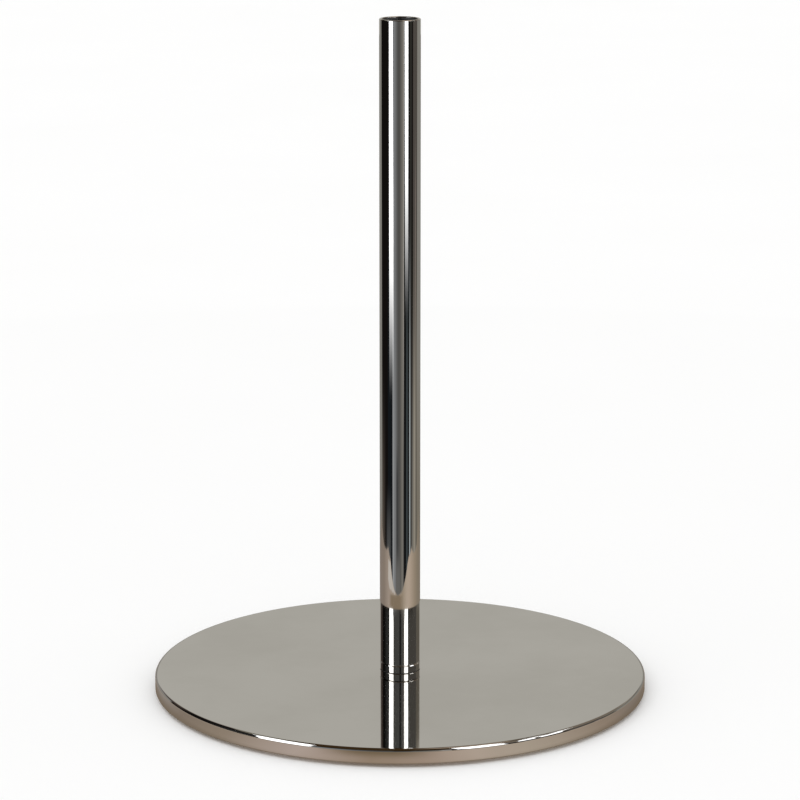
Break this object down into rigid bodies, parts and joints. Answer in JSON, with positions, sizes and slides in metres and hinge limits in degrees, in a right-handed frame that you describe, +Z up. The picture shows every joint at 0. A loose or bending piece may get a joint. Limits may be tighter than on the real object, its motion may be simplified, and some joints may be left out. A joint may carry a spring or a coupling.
{
  "type": "flag pole stand",
  "caption": "Polished round floor plate with an upright open socket tube that takes the foot of an indoor flag pole.",
  "frame": {"origin": "on the floor, on the axis of the tube, in the middle of the felt's underside", "axes": "+Z up along the tube; +Y towards the slots of the guide bushes"},
  "size_m": [0.305, 0.305, 0.4168],
  "materials": {
    "polished_plate": "mirror polished, bright plated, faintly warm",
    "polished_tube": "mirror polished, bright plated",
    "polished_plug": "turned and polished flange",
    "washer_plastic": "black nylon",
    "screw_steel": "zinc plated",
    "felt": "pressed black felt",
    "rest_rubber": "moulded black rubber",
    "bush_plastic": "moulded black acetal"
  },
  "bodies": {
    "root": {"base_plate": "polished_plate", "upright_tube": "polished_tube", "foot_plug": "polished_plug", "plate_washer": "washer_plastic", "fixing_screw": "screw_steel", "floor_felt": "felt", "pole_rest": "rest_rubber", "lower_guide_bush": "bush_plastic", "mouth_guide_bush": "bush_plastic"}
  },
  "joints": []
}
